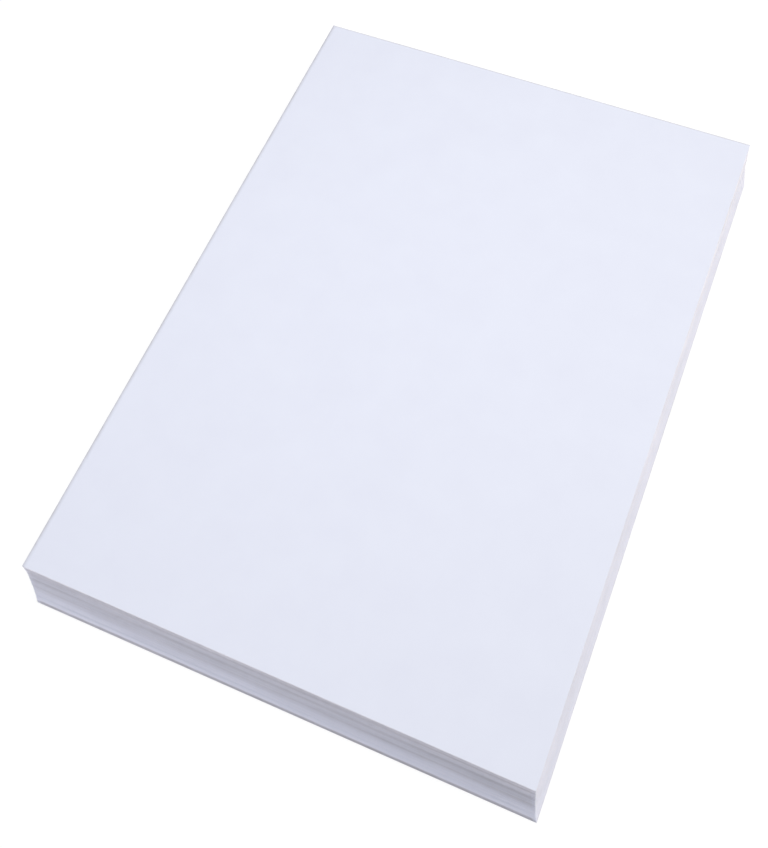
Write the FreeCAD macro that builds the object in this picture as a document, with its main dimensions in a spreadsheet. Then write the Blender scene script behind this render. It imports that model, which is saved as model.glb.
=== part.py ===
import FreeCAD, Part
import os

# A stack of loose A4 sheets of white card stock, all lying face to face.
#
# The sheets were squared up in batches and then the stack was pushed a little, so it leans to the
# left and to the back. It leans most near its foot, and its top stands almost upright. Each sheet is
# a separate piece.
#
# Millimetres. +X runs to the right along the sheets' short side, +Y to the back along their long
# side, +Z up. The origin is on the surface that the stack lies on, under the stack's middle.

# Driving sizes: alias, value, meaning.
DRIVING_SIZES = [
    ("sheet_width", 210, "short side of an A4 sheet"),
    ("sheet_length", 297, "long side of an A4 sheet"),
    ("sheet_thickness", 0.4, "thickness of one sheet of 300 g/m2 card"),
    ("sheet_count", 50, "number of sheets"),
    ("lean_left", 4.2, "how far left of the bottom sheet the top one lies"),
    ("lean_back", 8, "how far behind the bottom sheet the top one lies"),
    ("lean_power", 1.65, "1 leans evenly, more than 1 leans less and less towards the top"),
    ("batch_slip", 0.3, "how far a batch can lie off its place in the lean"),
    ("batch_turn", 0.06, "how far a batch can be turned about the vertical, in degrees"),
    ("sheet_slip", 0.04, "how far a sheet lies off its place in the batch"),
    ("sheet_turn", 0.015, "how far a sheet can be turned within its batch, in degrees"),
    ("heading_step", 137.5, "from one sheet's slip direction to the next one's, in degrees"),
]

# The batches that were squared up together, from the lowest up: how many sheets each has, and how
# it lies off its place in the lean, as its share of the batch slip to the right, its share to the
# back, and its share of the batch turn, anticlockwise. A taller stack starts the list again.
BATCHES = [
    (7, 0.2, 0.0, 0.5),
    (11, -0.4, 1.0, 0.2),
    (10, -0.6, 0.7, -0.1),
    (11, 0.3, 0.4, -0.5),
    (11, 0.0, 0.0, -1.0),
]


def make_sizes(doc):
    """The spreadsheet of driving sizes: a name, a value with its alias, and a note in each row."""
    sizes = doc.addObject("Spreadsheet::Sheet", "Sizes")
    for row, (alias, value, note) in enumerate(DRIVING_SIZES, start=1):
        sizes.set(f"A{row}", alias)
        sizes.set(f"B{row}", str(value))
        sizes.setAlias(f"B{row}", alias)
        sizes.set(f"C{row}", note)
    doc.recompute()
    return sizes


def make_sheet(doc, level, right, back, anticlockwise):
    """One sheet of card, with level sheets below it and its batch's shares of the slip and turn."""
    number = level + 1
    sheet = doc.addObject("Part::Box", f"Sheet{number}")
    sheet.Label = f"sheet_{number:02d}"
    sheet.setExpression("Length", "Sizes.sheet_width")
    sheet.setExpression("Width", "Sizes.sheet_length")
    sheet.setExpression("Height", "Sizes.sheet_thickness")

    # The sheet's share of the whole lean runs from -1/2 at the bottom to 1/2 at the top.
    lean = f"(0.5 - (1 - {level} / (Sizes.sheet_count - 1)) ^ Sizes.lean_power)"
    heading = f"({level} * Sizes.heading_step)"
    middle_x = (
        f"-Sizes.lean_left * {lean} + Sizes.batch_slip * ({right})"
        f" + Sizes.sheet_slip * cos({heading})"
    )
    middle_y = (
        f"Sizes.lean_back * {lean} + Sizes.batch_slip * ({back})"
        f" + Sizes.sheet_slip * sin({heading})"
    )
    turn = f"(Sizes.batch_turn * ({anticlockwise}) + Sizes.sheet_turn * cos({heading}))"

    # A box is placed by its corner, which is found from the sheet's middle and its turn.
    corner_x = f"{middle_x} - (Sizes.sheet_width * cos({turn}) - Sizes.sheet_length * sin({turn})) / 2"
    corner_y = f"{middle_y} - (Sizes.sheet_width * sin({turn}) + Sizes.sheet_length * cos({turn})) / 2"
    sheet.setExpression(".Placement.Rotation.Angle", turn)
    sheet.setExpression(".Placement.Base.x", corner_x)
    sheet.setExpression(".Placement.Base.y", corner_y)
    sheet.setExpression(".Placement.Base.z", f"{level} * Sizes.sheet_thickness")
    return sheet


def make_stack(doc, sizes):
    """Every sheet, from the bottom of the stack to its top."""
    shares = [tuple(batch[1:]) for batch in BATCHES for _ in range(batch[0])]
    sheets = [
        make_sheet(doc, level, *shares[level % len(shares)]) for level in range(int(sizes.sheet_count))
    ]
    doc.recompute()
    return sheets


def check(doc, sheets):
    """Stops before anything is written if an object failed or a sheet has no sound solid."""
    for thing in doc.Objects:
        if "Invalid" in thing.State or "Error" in thing.State:
            raise RuntimeError(f"{thing.Label} failed to recompute: {thing.State}")
    for sheet in sheets:
        if sheet.Shape.isNull() or not sheet.Shape.isValid():
            raise RuntimeError(f"{sheet.Label} has no valid shape")


def export(sheets):
    """One STEP file for each sheet, named by its label."""
    os.makedirs("parts", exist_ok=True)
    for sheet in sheets:
        sheet.Shape.exportStep(f"parts/{sheet.Label}.step")


document = FreeCAD.newDocument("card_stack")
stack = make_stack(document, make_sizes(document))
check(document, stack)
export(stack)
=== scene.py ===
import math
from collections import namedtuple

import bpy
import numpy as np
from mathutils import Matrix, Vector


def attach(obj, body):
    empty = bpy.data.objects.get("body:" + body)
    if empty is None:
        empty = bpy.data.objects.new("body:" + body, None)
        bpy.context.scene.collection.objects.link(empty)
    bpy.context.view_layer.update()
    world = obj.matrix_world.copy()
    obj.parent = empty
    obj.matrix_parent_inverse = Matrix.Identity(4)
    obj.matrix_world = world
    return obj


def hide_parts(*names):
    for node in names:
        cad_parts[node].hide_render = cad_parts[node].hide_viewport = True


# A stack of loose sheets of white card stock. Metres, in the CAD frame: +X runs to the right along the
# sheets' short side, +Y to the back along their long side, +Z up from the surface that the stack lies on.

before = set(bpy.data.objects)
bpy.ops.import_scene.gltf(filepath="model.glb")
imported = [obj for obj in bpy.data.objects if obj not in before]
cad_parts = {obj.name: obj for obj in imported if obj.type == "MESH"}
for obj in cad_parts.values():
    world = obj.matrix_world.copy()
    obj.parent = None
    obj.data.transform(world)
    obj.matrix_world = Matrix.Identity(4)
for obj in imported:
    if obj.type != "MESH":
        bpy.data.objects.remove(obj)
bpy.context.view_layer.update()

MM = 0.001

# The sheets in each batch that was squared up together, as in the CAD, from the lowest up.
BATCHES = (7, 11, 10, 11, 11)
SHEET_COUNT = sum(BATCHES)
MEETINGS = np.cumsum(BATCHES)[:-1]

# How dull the cut edges are, from 0 for clean to 1 for the darkest grey, which paints shade as well as the
# edges' marks. Below 0, only their marks show.
# The edges are duller above part of the stack's height, and lighter below it.
UPPER_DULLNESS = 0.4
LOWER_DULLNESS = -0.25
UPPER_HEIGHT = 0.4      # of the stack's height, above which the sheets are as dull as the upper ones
UPPER_POWER = 0.8       # below 1, they get dull sooner on the way up to it
SHEET_DULLNESS = 0.15     # how much duller one sheet's edges can be than its neighbour's
SHEET_SEED = 5
FOOT_SHEETS = 3.4         # how many sheets up from the table the edges carry a painted contact shadow
FOOT_SHADE = 1.35      # how dark that painted shadow is at the very bottom
FOOT_POWER = 4            # the more, the later that painted shadow thins out on the way up
LOWEST_CLEANNESS = 0.3    # how much less dull the lowest batch is than its place says
TOP_SHEETS = 5            # how many sheets down from the top the edges are cleaner
TOP_CLEANNESS = 0.28      # how much less dull the top sheet's edges are for that
LONG_EDGE_SHARE = 0.4     # how dull the long edges are beside the short ones

# Painted shade: batches are duller where they meet, darkest just below the gap, mostly at their right.
MEETING_LEFT = 0.16       # how much duller, from the left edge to the middle
MEETING_RIGHT = 0.34      # at the right
MEETING_WIDTH = 105 * MM  # how far right of the middle it gets to that
MEETING_REACH = 2.4       # how many sheets that goes up and down
MEETING_DROP = 0.7        # how many sheets below the meeting it is dullest
LEDGE_SHADE_FROM = 0.2         # up to this dullness, the ledges between the sheets get no painted shade

# The card and how it lies.
CARD_SHARE = 0.94         # of a sheet's pitch that is card; the rest is air
BATCH_CARD_SHARE = 0.96   # of a sheet's pitch that it takes up in its batch, so gaps open between batches
BATCH_PLAY = 0.1 * MM     # how far the gap between two batches opens and closes along their edges
BATCH_WAVES = 16          # of those openings to the metre
EDGE_ROUNDING = 0.03 * MM # how far the guillotine draws in the two corners of a cut edge
EDGE_ROWS = 4             # rows of vertices up a cut edge
SAG = 0.25 * MM           # how far the top of the stack can sink
EDGE_SAG = 0.3            # of that, at the middle of an edge
EDGE_SAG_POWER = 4        # the more, the nearer to the edge that starts
HOLLOW_SAG = 0.6          # of the sag, in soft hollows
HOLLOWS = 7               # of them to the metre
RIM_WIDTH = 1.4 * MM      # how far in from its left edge the top sheet is bent down by handling
BACK_RIM_SHARE = 0.5      # how far in from its back edge, beside that
RIM_DROP = 0.22 * MM      # how far its edges are bent down
SHARP_BEND = math.radians(15)

# How the parts of a sheet are told apart.
FACE_FROM = 0.4           # further than this share of the thickness from the middle is a face
LONG_EDGE_FROM = 0.499    # further than this share of the width from the middle is a long edge
STEEP = 0.6               # a facet looks along an axis if its normal has more than this along it

# Card colours in plain light, and a grey that paints shade on the card.
CARD_WHITE = (0.800, 0.820, 0.921, 1)
CARD_SHADE = (0.785, 0.803, 0.906, 1)
# Painted shade: this grey darkens the top sheet's bent-down rim and the bare ledges.
SHADE_GREY = (0.54, 0.525, 0.55, 1)
CUT_CLEAN = (0.91, 0.872, 0.908, 1)
# The darkest cut colour paints shade at the foot and where batches meet, and the edges' marks.
CUT_SHADE_AND_MARKS = (0.36, 0.34, 0.365, 1)

# The finish of the card's faces. Patterns are in cells to the metre.
CLOUDS = 55
# Patches in the painted shade on the rim and ledges.
SHADE_PATCHES = 120
LIGHTEST_SHADE_PATCH = 0.5
TOOTH = 2600
TOOTH_SHARE = 0.4
FIBRES = 700
FIBRE_SHARE = 0.6
FACE_RELIEF = 0.02 * MM
FACE_RELIEF_STRENGTH = 0.35
FACE_ROUGHNESS = (0.74, 0.86)
FACE_GLOSS = 0.12

# The finish of the cut edges, and how much each kind of mark dulls them.
SCRATCHES = 1500
SCRATCH_DULLNESS = 0.3
SCRATCH_SQUEEZE = 0.25    # below 1, draws the scratches out up the edge
STREAKS = 32
STREAK_SQUEEZE = 24       # above 1, keeps a streak within a few sheets
BLOTCHES = 420
BLOTCH_DULLNESS = 0.45
CUT_RELIEF = 0.04 * MM
CUT_RELIEF_STRENGTH = 0.6
CUT_ROUGHNESS = (0.8, 0.95)
CUT_GLOSS = 0.1

# Nearly all of a noise lies in this range, around its middle.
NOISE_RANGE = (0.3, 0.7)
NOISE_MIDDLE = 0.5

# The floor and the light.
WHITE = (1, 1, 1, 1)
FLOOR_REACH = 4.0
FLOOR_DROP = 0.02 * MM                 # keeps the floor clear of the bottom sheet
FLOOR_LIT = (0.85, 0.85, 0.85, 1)      # what the floor throws back on the stack
FLOOR_SHADED = (0.13, 0.13, 0.13, 1)   # the part of the floor's white that the stack can shade
FLOOR_GLOW = 0.91                      # the part that it can't shade
FLOOR_FADE = (0.4, 1.0)                # how far out the floor starts to turn plain white, and ends
SKY_COLOUR = (0.88, 0.92, 1.0, 1)
SKY_LEVEL = 0.33                       # at the horizon
SKY_RISE = 0.18                        # how much more overhead
LAMPS = (
    # name, place, size, power, colour
    ("window", (1.35, 0.5, 0.72), 0.5, 14.7, (1.0, 0.963, 0.862)),
    ("ceiling", (-0.07, 0.08, 0.6), 0.2, 1.22, (1.0, 0.99, 0.98)),
    ("fill", (-0.55, -0.7, 0.17), 0.3, 2.32, (1.0, 0.99, 1.0)),
)

# The view.
CAMERA_AIM = Vector((-19.4, 7.5, 0)) * MM
CAMERA_DISTANCE = 477.7 * MM
CAMERA_AZIMUTH = math.radians(28.0)
CAMERA_ELEVATION = math.radians(62.5)
CAMERA_ROLL = math.radians(-5.83)
CAMERA_LENS = 45.63
CAMERA_SENSOR = 36
CAMERA_SHIFT = -0.10

# How a CAD sheet lies: its middle, its underside and its turn, and its three sizes.
Lie = namedtuple("Lie", "middle underside turn width length thickness")


# ---- Node trees ----

def feed(tree, socket, value):
    """Gives a socket a value, or links another node's output to it."""
    if isinstance(value, bpy.types.NodeSocket):
        tree.links.new(value, socket)
    else:
        socket.default_value = value


def add(tree, kind, inputs=None, **settings):
    """A node with its settings, and its inputs by name."""
    made = tree.nodes.new(kind)
    for name, value in settings.items():
        setattr(made, name, value)
    for name, value in (inputs or {}).items():
        feed(tree, made.inputs[name], value)
    return made


def maths(tree, operation, *values):
    """The result of a math node."""
    made = tree.nodes.new("ShaderNodeMath")
    made.operation = operation
    for socket, value in zip(made.inputs, values):
        feed(tree, socket, value)
    return made.outputs[0]


def times(tree, first, *others):
    """The values multiplied together."""
    for other in others:
        first = maths(tree, "MULTIPLY", first, other)
    return first


def plus(tree, first, *others):
    """The values added up."""
    for other in others:
        first = maths(tree, "ADD", first, other)
    return first


def minus(tree, first, second):
    """One value less another."""
    return maths(tree, "SUBTRACT", first, second)


def without_sign(tree, value):
    """How far a value is from 0."""
    return maths(tree, "ABSOLUTE", value)


def joined(tree, x=0, y=0, z=0):
    """A vector with those parts."""
    return add(tree, "ShaderNodeCombineXYZ", {"X": x, "Y": y, "Z": z}).outputs[0]


def parts_of(tree, vector):
    """The X, Y and Z of a vector."""
    return add(tree, "ShaderNodeSeparateXYZ", {"Vector": vector}).outputs


def noise(tree, place, scale, detail=2.0, roughness=0.5):
    """A noise value from 0 to 1, with scale in cells to the metre."""
    inputs = {"Vector": place, "Scale": scale, "Detail": detail, "Roughness": roughness}
    return add(tree, "ShaderNodeTexNoise", inputs).outputs["Fac"]


def stretched(tree, value, low, high, to_low=0.0, to_high=1.0):
    """A value's range from low to high, spread over another range and held at its ends."""
    inputs = {"Value": value, "From Min": low, "From Max": high, "To Min": to_low, "To Max": to_high}
    return add(tree, "ShaderNodeMapRange", inputs).outputs["Result"]


# ---- Materials ----

def new_material(name):
    """A material with an empty tree, its tree and its shader, which is linked to the output."""
    material = bpy.data.materials.new(name)
    material.use_nodes = True
    tree = material.node_tree
    tree.nodes.clear()
    shader = add(tree, "ShaderNodeBsdfPrincipled")
    add(tree, "ShaderNodeOutputMaterial", {"Surface": shader.outputs[0]})
    return material, tree, shader


def blended(tree, factor, first, second):
    """A colour between two others."""
    made = tree.nodes.new("ShaderNodeMix")
    made.data_type = "RGBA"
    feed(tree, made.inputs["Factor"], factor)
    feed(tree, made.inputs["A"], first)
    feed(tree, made.inputs["B"], second)
    return made.outputs["Result"]


def attribute(tree, name):
    """A value that the sheets carry under that name."""
    return add(tree, "ShaderNodeAttribute", attribute_name=name).outputs["Fac"]


def sheet_dullness(tree, place):
    """How dull a sheet is at a place: by itself, and by painted shade where its batch meets another."""
    across = parts_of(tree, place)["X"]
    by_place = stretched(tree, across, 0, MEETING_WIDTH, MEETING_LEFT, MEETING_RIGHT)
    return plus(tree, attribute(tree, "dullness"), times(tree, attribute(tree, "meeting"), by_place))


def rim_shade(tree, place):
    """The top sheet is painted grey where its rim is bent down: painted shade of the bent edge."""
    return attribute(tree, "rim")


def ledge_shade(tree, place):
    """The ledge that a sheet leaves bare on the one below is grey where the sheets are dull: painted shade,
    as at the foot and where batches meet.
    """
    dullness = times(tree, sheet_dullness(tree, place), attribute(tree, "ledge_share"))
    return stretched(tree, dullness, LEDGE_SHADE_FROM, 1)


def card_face_material(name, shade_mask):
    """Uncoated smooth card: faint clouds of denser fibre, a fine tooth, and grey patches of painted shade
    where the given mask says.
    """
    material, tree, shader = new_material(name)
    place = add(tree, "ShaderNodeTexCoord").outputs["Object"]
    clouds = noise(tree, place, CLOUDS, detail=5, roughness=0.55)
    clean = blended(tree, stretched(tree, clouds, *NOISE_RANGE), CARD_WHITE, CARD_SHADE)
    patches = noise(tree, place, SHADE_PATCHES, detail=4, roughness=0.6)
    shade_patchiness = stretched(tree, patches, *NOISE_RANGE, LIGHTEST_SHADE_PATCH, 1.0)
    colour = blended(tree, times(tree, shade_mask(tree, place), shade_patchiness), clean, SHADE_GREY)
    feed(tree, shader.inputs["Base Color"], colour)

    tooth = noise(tree, place, TOOTH, detail=3, roughness=0.6)
    fibres = noise(tree, place, FIBRES, detail=4, roughness=0.65)
    height = plus(tree, times(tree, tooth, TOOTH_SHARE), times(tree, fibres, FIBRE_SHARE))
    relief = {"Height": height, "Strength": FACE_RELIEF_STRENGTH, "Distance": FACE_RELIEF}
    feed(tree, shader.inputs["Normal"], add(tree, "ShaderNodeBump", relief).outputs[0])
    feed(tree, shader.inputs["Roughness"], stretched(tree, fibres, *NOISE_RANGE, *FACE_ROUGHNESS))
    feed(tree, shader.inputs["Specular IOR Level"], FACE_GLOSS)
    return material


def cut_edge_material():
    """The guillotined edge of a sheet: torn fibre ends, drawn down by the blade, some sheets duller, and
    painted shade at the stack's foot and where batches meet.
    """
    material, tree, shader = new_material("card_cut_edge")
    place = add(tree, "ShaderNodeTexCoord").outputs["Object"]
    drawn = add(tree, "ShaderNodeMapping", {"Vector": place, "Scale": (1, 1, SCRATCH_SQUEEZE)}).outputs[0]
    scratches = noise(tree, drawn, SCRATCHES, detail=4, roughness=0.6)
    along = add(tree, "ShaderNodeMapping", {"Vector": place, "Scale": (1, 1, STREAK_SQUEEZE)}).outputs[0]
    streaks = noise(tree, along, STREAKS, detail=3, roughness=0.6)
    blotches = noise(tree, place, BLOTCHES, detail=3, roughness=0.65)

    # Each sheet's own dullness, which holds painted shade at the foot and where batches meet, weaker on the
    # long edges.
    own = times(tree, sheet_dullness(tree, place), attribute(tree, "edge_share"))
    streaked = minus(tree, streaks, NOISE_MIDDLE)
    scratched = times(tree, minus(tree, scratches, NOISE_MIDDLE), SCRATCH_DULLNESS)
    mottled = times(tree, minus(tree, blotches, NOISE_MIDDLE), BLOTCH_DULLNESS)
    dullness = plus(tree, plus(tree, own, streaked), plus(tree, scratched, mottled))
    colour = blended(tree, stretched(tree, dullness, 0, 1), CUT_CLEAN, CUT_SHADE_AND_MARKS)
    feed(tree, shader.inputs["Base Color"], colour)

    relief = {"Height": scratches, "Strength": CUT_RELIEF_STRENGTH, "Distance": CUT_RELIEF}
    feed(tree, shader.inputs["Normal"], add(tree, "ShaderNodeBump", relief).outputs[0])
    feed(tree, shader.inputs["Roughness"], stretched(tree, scratches, *NOISE_RANGE, *CUT_ROUGHNESS))
    feed(tree, shader.inputs["Specular IOR Level"], CUT_GLOSS)
    return material


# ---- The tree that lays the sheets ----

def moved(tree, geometry, **inputs):
    """The geometry with its vertices, or a Selection of them, put at a Position or moved by an Offset."""
    return add(tree, "GeometryNodeSetPosition", {"Geometry": geometry, **inputs}).outputs[0]


def stored(tree, geometry, name, value, domain="POINT"):
    """The geometry with a value that it carries under that name."""
    inputs = {"Geometry": geometry, "Name": name, "Value": value}
    made = add(tree, "GeometryNodeStoreNamedAttribute", inputs, data_type="FLOAT", domain=domain)
    return made.outputs[0]


def carried(tree, name):
    """A value that the points carry under that name."""
    made = add(tree, "GeometryNodeInputNamedAttribute", {"Name": name}, data_type="FLOAT")
    return made.outputs["Attribute"]


def flat_sheet(tree, given, at):
    """One sheet, whose vertices crowd towards its edges."""
    size = joined(tree, given["Sheet Width"], given["Sheet Length"], given["Card Thickness"])
    sheet = add(tree, "GeometryNodeMeshCube", {
        "Size": size, "Vertices X": given["Vertices Across"], "Vertices Y": given["Vertices Along"],
        "Vertices Z": EDGE_ROWS,
    })

    def crowded(value, whole):
        half = times(tree, whole, 0.5)
        to_edge = maths(tree, "DIVIDE", minus(tree, half, without_sign(tree, value)), half)
        reach = times(tree, half, minus(tree, 1, maths(tree, "POWER", to_edge, given["Crowding"])))
        return times(tree, maths(tree, "SIGN", value), reach)

    x = crowded(at["X"], given["Sheet Width"])
    y = crowded(at["Y"], given["Sheet Length"])
    return moved(tree, sheet.outputs["Mesh"], Position=joined(tree, x, y, at["Z"]))


def rim_of(tree, given, at):
    """How near a place is to the left or back edge: 1 at the edge, and 0 from the rim's width in."""
    left = plus(tree, at["X"], times(tree, given["Sheet Width"], 0.5))
    behind = minus(tree, times(tree, given["Sheet Length"], 0.5), at["Y"])
    inside = maths(tree, "MINIMUM", left, maths(tree, "DIVIDE", behind, given["Back Rim Share"]))
    return maths(tree, "MAXIMUM", minus(tree, 1, maths(tree, "DIVIDE", inside, given["Rim Width"])), 0)


def finished_sheet(tree, given, at):
    """One sheet, with the corners of its cut edge drawn in, and its upper side bent down at the rim."""
    rim = rim_of(tree, given, at)
    on_long_edge = maths(tree, "GREATER_THAN", without_sign(tree, at["X"]),
                         times(tree, given["Sheet Width"], LONG_EDGE_FROM))
    # The rim carries painted shade on the top sheet.
    sheet = stored(tree, flat_sheet(tree, given, at), "rim", times(tree, rim, given["Rim Shade"]))
    sheet = stored(tree, sheet, "ledge_share", minus(tree, 1, on_long_edge))

    def drawn_in(value, whole):
        reach = minus(tree, times(tree, whole, 0.5), given["Edge Rounding"])
        return maths(tree, "MAXIMUM", maths(tree, "MINIMUM", value, reach), times(tree, reach, -1))

    x = drawn_in(at["X"], given["Sheet Width"])
    y = drawn_in(at["Y"], given["Sheet Length"])
    on_face = maths(tree, "GREATER_THAN", without_sign(tree, at["Z"]),
                    times(tree, given["Card Thickness"], FACE_FROM))
    sheet = moved(tree, sheet, Selection=on_face, Position=joined(tree, x, y, at["Z"]))

    # The height share is a half on the upper side, so the drop is doubled.
    upper = maths(tree, "MAXIMUM", maths(tree, "DIVIDE", at["Z"], given["Card Thickness"]), 0)
    drop = times(tree, rim, rim, upper, times(tree, given["Rim Drop"], -2))
    return moved(tree, sheet, Offset=joined(tree, z=drop))


def settled_stack(tree, given, at, stack):
    """The stack sinks in proportion to the height, so no sheet meets the next, and its batches wave."""
    def near_edge(value, whole):
        share = maths(tree, "DIVIDE", without_sign(tree, value), times(tree, whole, 0.5))
        return maths(tree, "POWER", share, EDGE_SAG_POWER)

    edges = plus(tree, near_edge(at["X"], given["Sheet Width"]), near_edge(at["Y"], given["Sheet Length"]))
    hollows = noise(tree, joined(tree, at["X"], at["Y"]), HOLLOWS, detail=0)
    sinking = plus(tree, times(tree, edges, EDGE_SAG), times(tree, hollows, HOLLOW_SAG))
    height = maths(tree, "DIVIDE", at["Z"], given["Stack Height"])
    sunk = times(tree, sinking, height, times(tree, given["Sag"], -1))

    # Each batch above the lowest waves in its own way.
    batch = carried(tree, "batch")
    swell = noise(tree, joined(tree, at["X"], at["Y"], batch), BATCH_WAVES, detail=1)
    wave = stretched(tree, swell, *NOISE_RANGE)
    lifted = times(tree, wave, given["Batch Play"], maths(tree, "MINIMUM", batch, 1))
    return moved(tree, stack, Offset=joined(tree, z=plus(tree, sunk, lifted)))


def surfaced_stack(tree, given, stack):
    """Card on the faces of the sheets, and the cut on their sides, whose long edges are less dull and carry
    less of the painted shade.
    """
    facing = parts_of(tree, add(tree, "GeometryNodeInputNormal").outputs[0])
    side = maths(tree, "LESS_THAN", without_sign(tree, facing["Z"]), STEEP)
    long_edge = maths(tree, "GREATER_THAN", without_sign(tree, facing["X"]), STEEP)
    share = stretched(tree, long_edge, 0, 1, 1, given["Long Edge Share"])
    stack = stored(tree, stack, "edge_share", share, domain="FACE")
    stack = add(tree, "GeometryNodeSetShadeSmooth", {"Geometry": stack}).outputs[0]
    face = {"Geometry": stack, "Material": given["Face Material"]}
    stack = add(tree, "GeometryNodeSetMaterial", face).outputs[0]
    edge = {"Geometry": stack, "Selection": side, "Material": given["Edge Material"]}
    return add(tree, "GeometryNodeSetMaterial", edge).outputs[0]


def sheet_tree():
    """Geometry Nodes that lay one sheet of card at each point of a mesh.

    A point carries its sheet's turn, batch and dullness, and how near it is to where batches meet, for the
    painted shade there."""
    tree = bpy.data.node_groups.new("lay_card_sheets", "GeometryNodeTree")
    new_socket = tree.interface.new_socket
    new_socket("Geometry", in_out="INPUT", socket_type="NodeSocketGeometry")
    for name in ("Sheet Width", "Sheet Length", "Card Thickness", "Crowding", "Edge Rounding", "Rim Width",
                 "Back Rim Share", "Rim Drop", "Rim Shade", "Stack Height", "Sag", "Batch Play",
                 "Long Edge Share"):
        new_socket(name, in_out="INPUT", socket_type="NodeSocketFloat")
    for name in ("Vertices Across", "Vertices Along"):
        new_socket(name, in_out="INPUT", socket_type="NodeSocketInt")
    for name in ("Face Material", "Edge Material"):
        new_socket(name, in_out="INPUT", socket_type="NodeSocketMaterial")
    new_socket("Geometry", in_out="OUTPUT", socket_type="NodeSocketGeometry")
    given = tree.nodes.new("NodeGroupInput").outputs
    at = parts_of(tree, add(tree, "GeometryNodeInputPosition").outputs[0])

    turn = add(tree, "FunctionNodeEulerToRotation", {"Euler": joined(tree, z=carried(tree, "turn"))})
    laid = add(tree, "GeometryNodeInstanceOnPoints", {
        "Points": given["Geometry"], "Instance": finished_sheet(tree, given, at), "Rotation": turn.outputs[0],
    })
    stack = add(tree, "GeometryNodeRealizeInstances", {"Geometry": laid.outputs[0]}).outputs[0]
    stack = settled_stack(tree, given, at, stack)
    add(tree, "NodeGroupOutput", {"Geometry": surfaced_stack(tree, given, stack)})
    return tree


# ---- The sheets ----

def lie_of(node):
    """How a CAD sheet lies, from the corners of its solid."""
    corners = np.array([vertex.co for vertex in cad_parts[node].data.vertices], float)
    underside, upper = corners[:, 2].min(), corners[:, 2].max()
    front_left = corners[np.argmin(corners[:, 0] + corners[:, 1])]
    front_right = corners[np.argmax(corners[:, 0] - corners[:, 1])]
    back_left = corners[np.argmax(corners[:, 1] - corners[:, 0])]
    across, along = (front_right - front_left)[:2], (back_left - front_left)[:2]
    middle = ((front_right + back_left) / 2)[:2]
    turn = math.atan2(across[1], across[0])
    return Lie(middle, underside, turn, np.linalg.norm(across), np.linalg.norm(along), upper - underside)


def upper_share(level):
    """How much of the upper sheets' dullness a sheet has by its height."""
    return min(1, level / (UPPER_HEIGHT * SHEET_COUNT)) ** UPPER_POWER


def own_dullness(level, batch, chance):
    """How dull a sheet's edges are by its place in the stack and by chance."""
    dull = LOWER_DULLNESS + (UPPER_DULLNESS - LOWER_DULLNESS) * upper_share(level) + chance
    # Painted contact shadow: the lowest sheets' edges darken where the stack meets the table.
    dull += FOOT_SHADE * max(0, 1 - (level / FOOT_SHEETS) ** FOOT_POWER)
    if batch == 0:
        dull -= LOWEST_CLEANNESS
    from_top = SHEET_COUNT - 1 - level
    return dull - TOP_CLEANNESS * max(0, 1 - from_top / TOP_SHEETS)


def nearness(level):
    """How near a sheet is to the darkest painted shade where two batches meet, from 0 to 1."""
    away = min(abs(level + 0.5 + MEETING_DROP - meeting) for meeting in MEETINGS)
    return max(0, 1 - away / MEETING_REACH) * upper_share(level)


def sheet_points(name, nodes):
    """A mesh with a point at the middle of each of those sheets, and what the sheet needs to be laid."""
    rng = np.random.default_rng(SHEET_SEED)
    chances = SHEET_DULLNESS * (rng.random(len(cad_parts)) - 0.5)
    places = [(batch, above) for batch, count in enumerate(BATCHES) for above in range(count)]
    spots = []
    carried_values = {"turn": [], "batch": [], "dullness": [], "meeting": []}
    for node in nodes:
        level = int(node.split("_")[1]) - 1
        batch, above = places[level]
        lie = lie_of(node)
        lowest = lie.underside - above * lie.thickness
        height = lowest + (above * BATCH_CARD_SHARE + CARD_SHARE / 2) * lie.thickness
        spots.append((lie.middle[0], lie.middle[1], height))
        carried_values["turn"].append(lie.turn)
        carried_values["batch"].append(batch)
        carried_values["dullness"].append(own_dullness(level, batch, chances[level]))
        carried_values["meeting"].append(nearness(level))
    points = bpy.data.meshes.new(name + "_places")
    points.from_pydata(spots, [], [])
    for label, values in carried_values.items():
        stored_values = points.attributes.new(label, "FLOAT", "POINT").data
        stored_values.foreach_set("value", np.array(values, np.float32))
    return points


def lay_sheets(name, nodes, tree, values):
    """The mesh piece that stands for those CAD sheets, laid by the tree."""
    holder = bpy.data.objects.new(name + "_holder", sheet_points(name, nodes))
    bpy.context.scene.collection.objects.link(holder)
    modifier = holder.modifiers.new("sheets", "NODES")
    modifier.node_group = tree
    identifiers = {item.name: item.identifier for item in tree.interface.items_tree if item.in_out == "INPUT"}
    for input_name, value in values.items():
        modifier[identifiers[input_name]] = value
    shown = holder.evaluated_get(bpy.context.evaluated_depsgraph_get())
    mesh = bpy.data.meshes.new_from_object(shown)
    mesh.name = name
    bpy.data.objects.remove(holder)
    mesh.set_sharp_from_angle(angle=SHARP_BEND)
    piece = bpy.data.objects.new(name, mesh)
    bpy.context.scene.collection.objects.link(piece)
    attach(piece, "root")
    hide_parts(*nodes)


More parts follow.
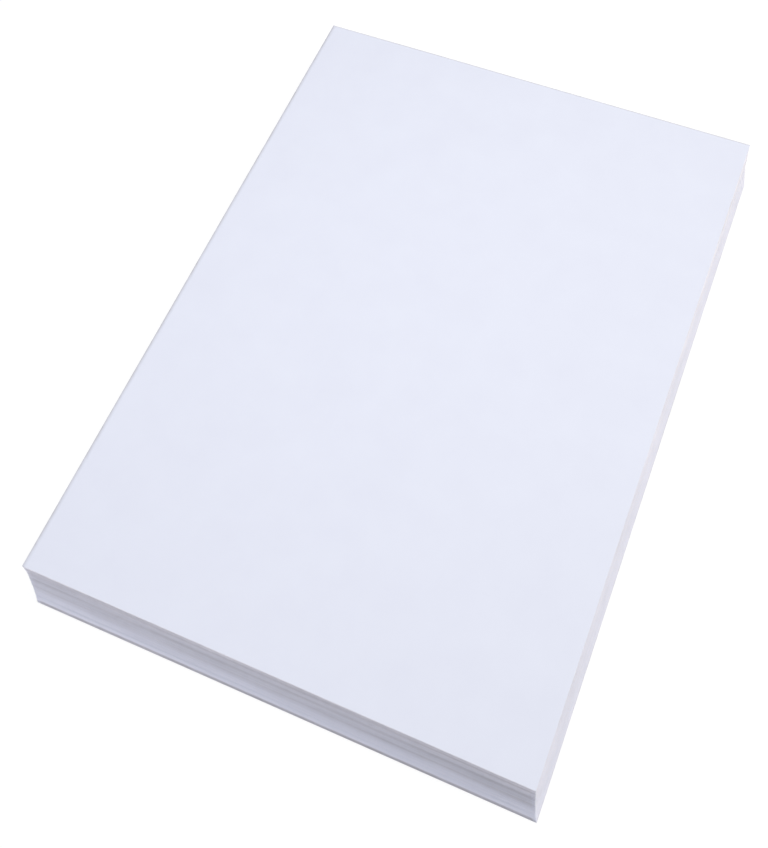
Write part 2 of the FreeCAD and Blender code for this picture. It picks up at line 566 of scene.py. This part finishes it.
def make_stack():
    """The top sheet, whose rim is bent and painted with shade, and under it all the others, which lie flat.
    """
    nodes = sorted(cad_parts)
    lie = lie_of(nodes[0])
    tree = sheet_tree()
    face = card_face_material("card_face", rim_shade)
    ledge = card_face_material("card_ledge", ledge_shade)
    edge = cut_edge_material()
    values = {
        "Sheet Width": lie.width, "Sheet Length": lie.length, "Card Thickness": CARD_SHARE * lie.thickness,
        "Edge Rounding": EDGE_ROUNDING, "Stack Height": len(nodes) * lie.thickness, "Sag": SAG,
        "Batch Play": BATCH_PLAY, "Rim Width": RIM_WIDTH, "Back Rim Share": BACK_RIM_SHARE,
        "Long Edge Share": LONG_EDGE_SHARE, "Edge Material": edge,
    }
    lower = {
        "Face Material": ledge, "Crowding": 2.0, "Rim Drop": 0.0, "Rim Shade": 0.0,
        "Vertices Across": 15, "Vertices Along": 21,
    }
    top = {
        "Face Material": face, "Crowding": 2.2, "Rim Drop": RIM_DROP, "Rim Shade": 1.0,
        "Vertices Across": 64, "Vertices Along": 90,
    }
    lay_sheets("card_sheets", nodes[:-1], tree, {**values, **lower})
    lay_sheets("top_sheet", nodes[-1:], tree, {**values, **top})


# ---- Floor, light and camera ----

def seen_directly(tree):
    """1 where the camera, a reflection or glass shows the surface, and 0 where it only gives light."""
    rays = add(tree, "ShaderNodeLightPath").outputs
    mirrored = maths(tree, "MAXIMUM", rays["Is Glossy Ray"], rays["Is Transmission Ray"])
    return maths(tree, "MAXIMUM", rays["Is Camera Ray"], mirrored)


def mixed(tree, factor, first, second):
    """A shader between two others."""
    made = add(tree, "ShaderNodeMixShader", {"Fac": factor})
    feed(tree, made.inputs[1], first.outputs[0])
    feed(tree, made.inputs[2], second.outputs[0])
    return made


def floor_material():
    """White to look at, with a soft shadow of the stack, and pale in the light that it throws back."""
    material = bpy.data.materials.new("pale_floor")
    material.use_nodes = True
    tree = material.node_tree
    tree.nodes.clear()
    shaded = add(tree, "ShaderNodeBsdfDiffuse", {"Color": FLOOR_SHADED})
    glow = add(tree, "ShaderNodeEmission", {"Color": WHITE, "Strength": FLOOR_GLOW})
    near = add(tree, "ShaderNodeAddShader")
    feed(tree, near.inputs[0], shaded.outputs[0])
    feed(tree, near.inputs[1], glow.outputs[0])
    place = add(tree, "ShaderNodeTexCoord").outputs["Object"]
    far_out = add(tree, "ShaderNodeVectorMath", {0: place}, operation="LENGTH").outputs["Value"]
    plain = add(tree, "ShaderNodeEmission", {"Color": WHITE, "Strength": 1.0})
    seen = mixed(tree, stretched(tree, far_out, *FLOOR_FADE), near, plain)
    lit = add(tree, "ShaderNodeBsdfDiffuse", {"Color": FLOOR_LIT})
    surface = mixed(tree, seen_directly(tree), lit, seen)
    add(tree, "ShaderNodeOutputMaterial", {"Surface": surface.outputs[0]})
    return material


def make_floor():
    """A wide square of floor just under the stack."""
    mesh = bpy.data.meshes.new("floor")
    square = ((-1, -1), (1, -1), (1, 1), (-1, 1))
    corners = [(x * FLOOR_REACH, y * FLOOR_REACH, -FLOOR_DROP) for x, y in square]
    mesh.from_pydata(corners, [], [(0, 1, 2, 3)])
    mesh.materials.append(floor_material())
    floor = bpy.data.objects.new("floor", mesh)
    bpy.context.scene.collection.objects.link(floor)


def make_world():
    """Dim cool light from all round, behind which the camera sees white."""
    world = bpy.data.worlds.new("studio")
    bpy.context.scene.world = world
    world.use_nodes = True
    tree = world.node_tree
    tree.nodes.clear()
    direction = add(tree, "ShaderNodeTexCoord").outputs["Generated"]
    height = maths(tree, "MAXIMUM", parts_of(tree, direction)["Z"], 0)
    level = plus(tree, times(tree, height, SKY_RISE), SKY_LEVEL)
    dim = add(tree, "ShaderNodeBackground", {"Color": SKY_COLOUR, "Strength": level})
    white = add(tree, "ShaderNodeBackground", {"Color": WHITE, "Strength": 1.0})
    surface = mixed(tree, seen_directly(tree), dim, white)
    add(tree, "ShaderNodeOutputWorld", {"Surface": surface.outputs[0]})


def make_lamp(name, place, size, power, colour):
    """A square area lamp that faces the stack."""
    lamp = bpy.data.lights.new(name, "AREA")
    lamp.shape = "SQUARE"
    lamp.size = size
    lamp.energy = power
    lamp.color = colour
    holder = bpy.data.objects.new(name, lamp)
    holder.location = place
    holder.rotation_euler = (-Vector(place)).to_track_quat("-Z", "Y").to_euler()
    bpy.context.scene.collection.objects.link(holder)


def make_camera():
    """The camera stands in front, to the right and well above, and leans a little to one side."""
    sin_a, cos_a = math.sin(CAMERA_AZIMUTH), math.cos(CAMERA_AZIMUTH)
    sin_e, cos_e = math.sin(CAMERA_ELEVATION), math.cos(CAMERA_ELEVATION)
    back = Vector((sin_a * cos_e, -cos_a * cos_e, sin_e))
    right = Vector((cos_a, sin_a, 0))
    upright = Matrix((right, back.cross(right), back)).transposed().to_4x4()
    camera = bpy.data.cameras.new("camera")
    camera.sensor_width = CAMERA_SENSOR
    camera.lens = CAMERA_LENS
    camera.shift_y = CAMERA_SHIFT
    holder = bpy.data.objects.new("camera", camera)
    place = Matrix.Translation(CAMERA_AIM + back * CAMERA_DISTANCE)
    holder.matrix_world = place @ upright @ Matrix.Rotation(CAMERA_ROLL, 4, "Z")
    bpy.context.scene.collection.objects.link(holder)
    bpy.context.scene.camera = holder


make_stack()
make_floor()
make_world()
for lamp_settings in LAMPS:
    make_lamp(*lamp_settings)
make_camera()
bpy.context.scene.view_settings.view_transform = "Standard"
